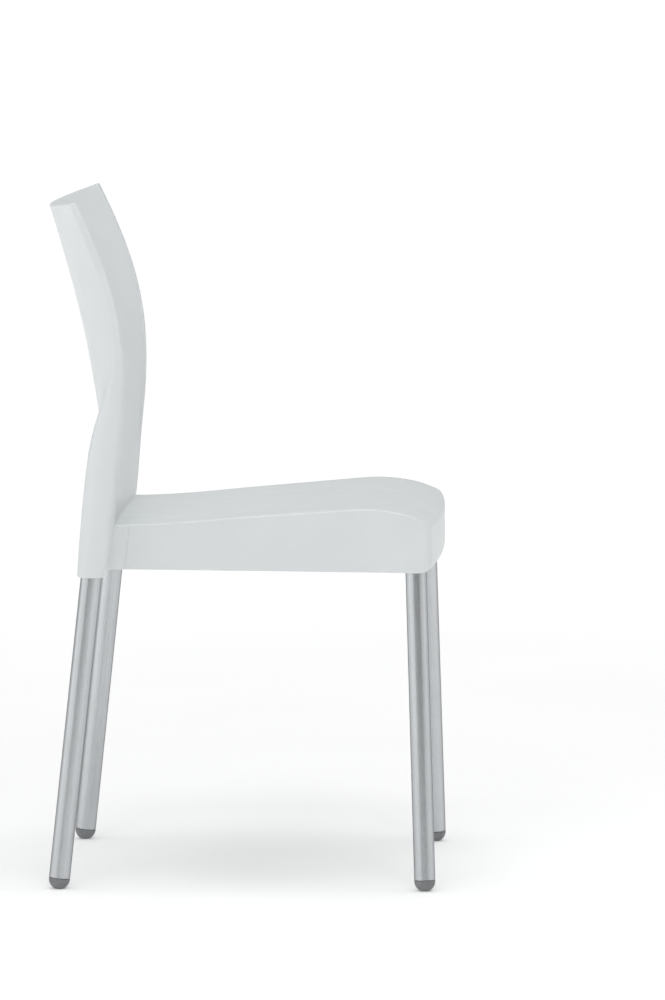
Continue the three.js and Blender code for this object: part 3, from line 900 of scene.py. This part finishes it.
def build_screw(end, side):
    """A pan-head screw with a six-sided drive and a helical thread."""
    sides = 48
    turn = 2 * math.pi * np.arange(sides) / sides
    even = np.ones(sides)
    six_sided = 1 / np.cos((turn + math.pi / 6) % (math.pi / 3) - math.pi / 6)
    top = -GAP - SCREW_HEAD_HEIGHT
    rings = [
        (0.35 * six_sided, top + DRIVE_DEPTH + 0.35), ((DRIVE_RADIUS - 0.12) * six_sided, top + DRIVE_DEPTH),
        ((DRIVE_RADIUS - 0.08) * six_sided, top + 0.3), (DRIVE_RADIUS * six_sided, top + 0.05),
        ((DRIVE_RADIUS + 0.45) * even, top),
    ]
    for angle in quarter(7):
        radius = SCREW_HEAD - SCREW_HEAD_ROUND * (1 - math.sin(angle))
        rings.append((radius * even, top + SCREW_HEAD_ROUND * (1 - math.cos(angle))))
    rings += [(SCREW_HEAD * even, -GAP - 0.25), ((SCREW_HEAD - 0.2) * even, -GAP)]
    rings.append((THREAD_ROOT * 1.12 * even, -GAP))
    for height in np.arange(0, SCREW_LENGTH, THREAD_PITCH / 7):
        rings.append((thread_radius(height, turn), height))
    rings.append((0.4 * even, SCREW_LENGTH))
    matrix = screw_matrix(end, side)
    places = []
    for radius, height in rings:
        local = np.stack([radius * np.cos(turn), radius * np.sin(turn), 0 * turn + height], -1) * MM
        places.append(moved(local, matrix))
    name = f"screw_{label(end, side)}_visual"
    return crisp(mesh_object(*loft(name, places, "face", "face")))


# ---- Materials ----

class Shader:
    """A material's nodes, added by short calls."""

    def __init__(self, name, **sockets):
        self.material = bpy.data.materials.new(name)
        self.material.use_nodes = True
        self.tree = self.material.node_tree
        self.surface = self.tree.nodes["Principled BSDF"]
        for socket, value in sockets.items():
            self.surface.inputs[socket.replace("_", " ")].default_value = value

    def add(self, kind, inputs=(), **settings):
        node = self.tree.nodes.new(kind)
        for setting, value in settings.items():
            setattr(node, setting, value)
        for socket, value in dict(inputs).items():
            target = node.inputs[socket]
            if isinstance(value, bpy.types.NodeSocket):
                self.tree.links.new(value, target)
            else:
                target.default_value = value
        return node

    def place(self, attribute=None):
        if attribute:
            return self.add("ShaderNodeAttribute", attribute_name=attribute).outputs["Vector"]
        return self.add("ShaderNodeTexCoord").outputs["Object"]

    def scaled(self, vector, scale, turn=(0, 0, 0)):
        inputs = {"Vector": vector, "Scale": scale, "Rotation": turn}
        return self.add("ShaderNodeMapping", inputs).outputs[0]

    def noise(self, vector, scale, detail=3.0, roughness=0.55, distortion=0.0):
        inputs = {"Vector": vector, "Scale": scale, "Detail": detail}
        inputs |= {"Roughness": roughness, "Distortion": distortion}
        return self.add("ShaderNodeTexNoise", inputs).outputs[0]

    def ramp(self, value, from_low, from_high, to_low=0.0, to_high=1.0):
        inputs = {"Value": value, 1: from_low, 2: from_high, 3: to_low, 4: to_high}
        return self.add("ShaderNodeMapRange", inputs, interpolation_type="SMOOTHSTEP").outputs[0]

    def math(self, operation, a, b=0.0):
        return self.add("ShaderNodeMath", {0: a, 1: b}, operation=operation).outputs[0]

    def mix(self, share, a, b):
        node = self.add("ShaderNodeMix", {0: share, 6: a, 7: b}, data_type="RGBA")
        return node.outputs[2]

    # Mask used to make edges lighter; on the moulding that lightening is partly a painted highlight.
    def edge_mask(self, radius):
        """How much the surface turns within a radius: near 1 on edges."""
        bevel = self.add("ShaderNodeBevel", {"Radius": radius}, samples=4).outputs[0]
        normal = self.add("ShaderNodeNewGeometry").outputs["Normal"]
        both = self.add("ShaderNodeVectorMath", {0: bevel, 1: normal}, operation="DOT_PRODUCT")
        return self.ramp(self.math("SUBTRACT", 1.0, both.outputs["Value"]), 0.02, 0.25)

    def hairlines(self, vector, turn, scale, width):
        """Sparse fine scratches, all in about one direction."""
        stretched = self.scaled(vector, (scale, scale * 0.02, scale), turn)
        line = self.noise(stretched, 1.0, 2.0, 0.5, 0.15)
        thin = self.math("ABSOLUTE", self.math("SUBTRACT", line, 0.5))
        lines = self.math("SUBTRACT", 1.0, self.ramp(thin, 0.0, width))
        patches = self.ramp(self.noise(vector, 9.0, 2.0), 0.5, 0.68)
        return self.math("MULTIPLY", lines, patches)

    def bump(self, layers):
        """Stacks bumps given as (height, distance in metres)."""
        normal = None
        for height, distance in layers:
            inputs = {"Height": height, "Distance": distance, "Strength": 1.0}
            if normal is not None:
                inputs["Normal"] = normal
            normal = self.add("ShaderNodeBump", inputs).outputs[0]
        self.tree.links.new(normal, self.surface.inputs["Normal"])

    def drive(self, socket, value):
        self.tree.links.new(value, self.surface.inputs[socket])


def grey(value, tint=(1, 1, 1)):
    return (*(value * t for t in tint), 1)


def polypropylene():
    """Light cool-grey moulding with a fine spark texture, faint flow marks, scuffs, and edges made lighter
    in patches, partly as rubbed wear and partly as a painted highlight.
    """
    s = Shader("moulded_polypropylene", IOR=1.49)
    at = s.place()
    cool = (0.963, 1.0, 1.012)
    cloud = s.noise(at, 14.0, 4.0)
    flow = s.noise(s.scaled(at, (9.0, 2.2, 4.0)), 1.0, 5.0, 0.6, 1.2)
    speck = s.noise(at, 1400.0, 2.0)
    colour = s.mix(s.ramp(cloud, 0.3, 0.7), grey(0.73, cool), grey(0.75, cool))
    colour = s.mix(s.ramp(flow, 0.55, 0.8, 0, 0.3), colour, grey(0.715, cool))
    colour = s.mix(s.ramp(speck, 0.62, 0.75, 0, 0.22), colour, grey(0.62, cool))
    lengthwise = s.hairlines(at, (0, 0, 0.35), 260.0, 0.012)
    slanting = s.hairlines(at, (0.3, 0, 1.2), 210.0, 0.01)
    scratch = s.math("MAXIMUM", lengthwise, slanting)
    # Edges lighter and smoother in patches: partly rubbed wear, partly a painted highlight along the rims.
    edge_wear_and_highlight = s.edge_mask(0.002)
    edge_wear_and_highlight = s.math("MULTIPLY", edge_wear_and_highlight, s.ramp(s.noise(at, 60.0, 4.0), 0.35, 0.6))
    colour = s.mix(s.math("MULTIPLY", scratch, 0.3), colour, grey(0.82, cool))
    colour = s.mix(s.math("MULTIPLY", edge_wear_and_highlight, 0.45), colour, grey(0.84))
    s.drive("Base Color", colour)
    rough = s.ramp(s.noise(at, 34.0, 5.0), 0.25, 0.75, 0.34, 0.44)
    rough = s.math("ADD", rough, s.math("MULTIPLY", scratch, 0.12))
    s.drive("Roughness", s.math("SUBTRACT", rough, s.math("MULTIPLY", edge_wear_and_highlight, 0.08)))
    s.bump([
        (s.noise(at, 55.0, 2.0), 0.00009), (s.noise(at, 1700.0, 3.0, 0.6), 0.00001),
        (s.math("MULTIPLY", scratch, -1.0), 0.000012),
    ])
    return s.material


def anodised_aluminium():
    """Satin anodised tube, drawn lengthwise, with light rub marks."""
    s = Shader("anodised_aluminium", Metallic=1.0, Specular_Tint=grey(0.25))
    at = s.place("grain")
    streak = s.noise(s.scaled(at, (750.0, 750.0, 9.0)), 1.0, 4.0, 0.6)
    fine = s.noise(s.scaled(at, (3200.0, 3200.0, 30.0)), 1.0, 3.0, 0.6)
    cloud = s.noise(at, 22.0, 3.0)
    colour = s.mix(s.ramp(streak, 0.3, 0.7), grey(0.53, (0.965, 1, 1.025)), grey(0.57, (0.97, 1, 1.02)))
    colour = s.mix(s.ramp(cloud, 0.45, 0.8, 0, 0.3), colour, grey(0.46, (0.98, 1, 1.0)))
    rub = s.math("MULTIPLY", s.ramp(s.noise(at, 70.0, 5.0, 0.65), 0.56, 0.7), s.ramp(cloud, 0.45, 0.65))
    edge_wear_and_highlight = s.edge_mask(0.0008)
    colour = s.mix(s.math("MULTIPLY", rub, 0.3), colour, grey(0.56))
    colour = s.mix(s.math("MULTIPLY", edge_wear_and_highlight, 0.6), colour, grey(0.66))
    s.drive("Base Color", colour)
    rough = s.ramp(fine, 0.25, 0.75, 0.23, 0.33)
    rough = s.math("ADD", rough, s.math("MULTIPLY", rub, 0.08))
    s.drive("Roughness", rough)
    s.bump([(streak, 0.000007), (fine, 0.000003)])
    return s.material


def glide_plastic():
    """Dark grey foot, grained by moulding and scuffed pale where it slides."""
    s = Shader("glide_plastic", IOR=1.5)
    at = s.place()
    height = s.add("ShaderNodeSeparateXYZ", {0: at}).outputs[2]
    cloud = s.noise(at, 160.0, 4.0)
    low = s.math("SUBTRACT", 1.0, s.ramp(height, 0.0002, 0.0045))
    drag = s.noise(s.scaled(at, (900.0, 260.0, 500.0)), 1.0, 5.0, 0.7)
    scuff = s.math("MULTIPLY", low, s.ramp(drag, 0.42, 0.62))
    colour = s.mix(s.ramp(cloud, 0.3, 0.7), grey(0.185, (0.97, 1, 1.03)), grey(0.225, (0.97, 1, 1.03)))
    colour = s.mix(s.math("MULTIPLY", scuff, 0.7), colour, grey(0.34, (1.02, 1, 0.97)))
    colour = s.mix(s.math("MULTIPLY", s.edge_mask(0.0006), 0.4), colour, grey(0.33))
    s.drive("Base Color", colour)
    rough = s.ramp(s.noise(at, 420.0, 4.0), 0.25, 0.75, 0.42, 0.56)
    s.drive("Roughness", s.math("ADD", rough, s.math("MULTIPLY", scuff, 0.2)))
    s.bump([(s.noise(at, 2400.0, 3.0, 0.6), 0.000012), (s.math("MULTIPLY", scuff, -1.0), 0.00003)])
    return s.material


def zinc_steel():
    """Bright zinc with a faint blue cast and a spangled grain."""
    s = Shader("zinc_steel", Metallic=1.0)
    at = s.place()
    grain = s.add("ShaderNodeTexVoronoi", {"Vector": at, "Scale": 1500.0}).outputs["Distance"]
    cloud = s.noise(at, 420.0, 4.0)
    colour = s.mix(s.ramp(cloud, 0.3, 0.7), grey(0.5, (0.97, 1, 1.04)), grey(0.66, (0.98, 1, 1.02)))
    colour = s.mix(s.math("MULTIPLY", s.edge_mask(0.0004), 0.6), colour, grey(0.76))
    s.drive("Base Color", colour)
    s.drive("Roughness", s.ramp(grain, 0.1, 0.8, 0.24, 0.4))
    s.bump([(cloud, 0.00001), (grain, 0.000006)])
    return s.material


def nylon():
    """Natural nylon, slightly yellow, cut on its faces."""
    s = Shader("natural_nylon", IOR=1.53)
    at = s.place()
    cloud = s.noise(at, 90.0, 4.0)
    cut = s.noise(s.scaled(at, (400.0, 400.0, 2600.0)), 1.0, 3.0)
    colour = s.mix(s.ramp(cloud, 0.3, 0.7), grey(0.68, (1.02, 1, 0.91)), grey(0.76, (1.01, 1, 0.95)))
    colour = s.mix(s.math("MULTIPLY", s.edge_mask(0.0006), 0.5), colour, grey(0.85))
    s.drive("Base Color", colour)
    s.drive("Roughness", s.ramp(cut, 0.25, 0.75, 0.42, 0.6))
    s.bump([(cut, 0.00002), (s.noise(at, 1500.0), 0.00001)])
    return s.material


# ---- Stage, in metres ----

FLOOR_RADIUS = 600.0
FLOOR_RINGS = (1.5, 4, 12, 40, 150, FLOOR_RADIUS)
FLOOR_GLOW = 0.22
FLOOR_DIM = 0.25
FLOOR_GLOW_FAR = 0.62
FLOOR_GLOW_HORIZON = 0.32
WORLD_BEYOND = 0.55
LIGHT_TARGET = (0, 0, 0.42)


def floor_material():
    """Near-white floor that glows more with distance and can be looked through from below."""
    s = Shader("studio_floor", Roughness=0.8, Emission_Color=grey(1.0))
    s.surface.inputs["Specular IOR Level"].default_value = 0.1
    at = s.place()
    s.drive("Base Color", s.mix(s.ramp(s.noise(at, 2.0, 4.0), 0.3, 0.7), grey(0.86), grey(0.88)))
    away = s.add("ShaderNodeVectorMath", {0: at}, operation="LENGTH").outputs["Value"]
    glow = s.ramp(away, 0.3, 6.0, FLOOR_GLOW, FLOOR_GLOW_FAR)
    beyond = s.ramp(s.add("ShaderNodeSeparateXYZ", {0: at}).outputs[0], -4.0, -0.9, FLOOR_DIM, 1.0)
    horizon = s.ramp(away, 5.0, 18.0, 0.0, FLOOR_GLOW_HORIZON)
    s.drive("Emission Strength", s.math("ADD", s.math("MULTIPLY", glow, beyond), horizon))
    under = s.add("ShaderNodeNewGeometry").outputs["Backfacing"]
    clear = s.add("ShaderNodeBsdfTransparent").outputs[0]
    either = s.add("ShaderNodeMixShader", {0: under, 1: s.surface.outputs[0], 2: clear}).outputs[0]
    s.tree.links.new(either, s.tree.nodes["Material Output"].inputs["Surface"])
    return s.material


def build_floor():
    """A wide round floor whose edge lies at the horizon."""
    sides = 128
    turns = np.arange(sides) * 2 * math.pi / sides
    circle = np.column_stack([np.cos(turns), np.sin(turns), 0 * turns])
    rings = [radius * circle for radius in FLOOR_RINGS]
    vertices = np.concatenate([[(0, 0, 0)], *rings])
    faces = [(0, 1 + i, 1 + (i + 1) % sides) for i in range(sides)]
    for row in range(len(rings) - 1):
        base = 1 + row * sides
        for i in range(sides):
            after = (i + 1) % sides
            faces.append((base + i, base + sides + i, base + sides + after, base + after))
    mesh = bpy.data.meshes.new("floor")
    mesh.from_pydata([tuple(v) for v in vertices], [], faces)
    floor = bpy.data.objects.new("floor", mesh)
    bpy.context.scene.collection.objects.link(floor)
    mesh.materials.append(floor_material())


def softbox(name, direction, distance, size, power):
    """A large area light that looks at the middle of the chair, unseen by the camera."""
    middle = Vector(LIGHT_TARGET)
    lamp = bpy.data.lights.new(name, "AREA")
    lamp.shape = "RECTANGLE"
    lamp.size, lamp.size_y = size
    lamp.energy = power
    light = bpy.data.objects.new(name, lamp)
    light.location = middle + Vector(direction).normalized() * distance
    light.rotation_euler = (light.location - middle).to_track_quat("Z", "Y").to_euler()
    light.visible_camera = False
    bpy.context.scene.collection.objects.link(light)


def build_world():
    """Soft surroundings, dark on the viewer's side and brightest on the far side of the chair."""
    world = bpy.data.worlds.new("studio")
    world.use_nodes = True
    tree = world.node_tree
    background = tree.nodes["Background"]
    place = tree.nodes.new("ShaderNodeTexCoord").outputs["Generated"]
    parts = tree.nodes.new("ShaderNodeSeparateXYZ")
    tree.links.new(place, parts.inputs[0])
    ramp = tree.nodes.new("ShaderNodeMapRange")
    ramp.interpolation_type = "SMOOTHSTEP"
    tree.links.new(parts.outputs[0], ramp.inputs[0])
    for index, value in ((1, -1.0), (2, 1.0), (3, 0.0), (4, WORLD_BEYOND)):
        ramp.inputs[index].default_value = value
    tree.links.new(ramp.outputs[0], background.inputs["Strength"])
    background.inputs["Color"].default_value = grey(1.0, (0.985, 1.0, 1.0))
    bpy.context.scene.world = world


def build_lights():
    """Four large boxes: at the chair's rear, at its front, overhead, and high on the viewer's side."""
    softbox("rear_box", (-0.42, 0.9, 0.22), 6.0, (8.5, 4.5), 105)
    softbox("front_box", (-0.35, -0.93, 0.2), 6.0, (7.0, 4.5), 54)
    softbox("overhead_box", (-0.05, -0.05, 1.0), 7.0, (6.0, 6.0), 250)
    softbox("high_fill", (-1.0, 0.0, 0.9), 7.0, (5.0, 3.0), 162)


CAMERA_PLACE = (-10.044, -0.517, 1.403)
CAMERA_YAW = math.radians(2.36)
CAMERA_PITCH = math.radians(5.45)
CAMERA_ROLL = math.radians(0.05)
CAMERA_LENS = 301.2
CAMERA_REACH = 1000.0


def build_camera():
    """A long lens at the sitter's right, a little above the chair and a little in front of it."""
    data = bpy.data.cameras.new("camera")
    data.sensor_fit = "AUTO"
    data.sensor_width = 36.0
    data.lens = CAMERA_LENS
    data.clip_end = CAMERA_REACH
    camera = bpy.data.objects.new("camera", data)
    ahead = Vector((
        math.cos(CAMERA_YAW) * math.cos(CAMERA_PITCH), math.sin(CAMERA_YAW) * math.cos(CAMERA_PITCH),
        -math.sin(CAMERA_PITCH),
    ))
    turn = ahead.to_track_quat("-Z", "Y").to_matrix() @ Matrix.Rotation(CAMERA_ROLL, 3, "Z")
    camera.matrix_world = Matrix.Translation(CAMERA_PLACE) @ turn.to_4x4()
    bpy.context.scene.collection.objects.link(camera)
    bpy.context.scene.camera = camera


# ---- Assembly ----

def fit(piece, node, material):
    """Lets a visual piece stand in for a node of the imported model."""
    piece.data.materials.clear()
    piece.data.materials.append(material)
    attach(piece, "root")
    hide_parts(node)


def build_chair():
    """Every piece in the place of its node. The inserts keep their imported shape."""
    fit(build_shell(), "shell", polypropylene())
    aluminium, dark, zinc, natural = anodised_aluminium(), glide_plastic(), zinc_steel(), nylon()
    for end, side in leg_list:
        name = label(end, side)
        fit(build_tube(end, side), f"leg_{name}", aluminium)
        fit(build_glide(end, side), f"glide_{name}", dark)
        fit(build_screw(end, side), f"leg_screw_{name}", zinc)
        insert = bpy.data.objects[f"leg_insert_{name}"]
        insert.data.materials.clear()
        insert.data.materials.append(natural)


build_chair()
build_floor()
build_world()
build_lights()
build_camera()
bpy.context.scene.view_settings.view_transform = "Standard"
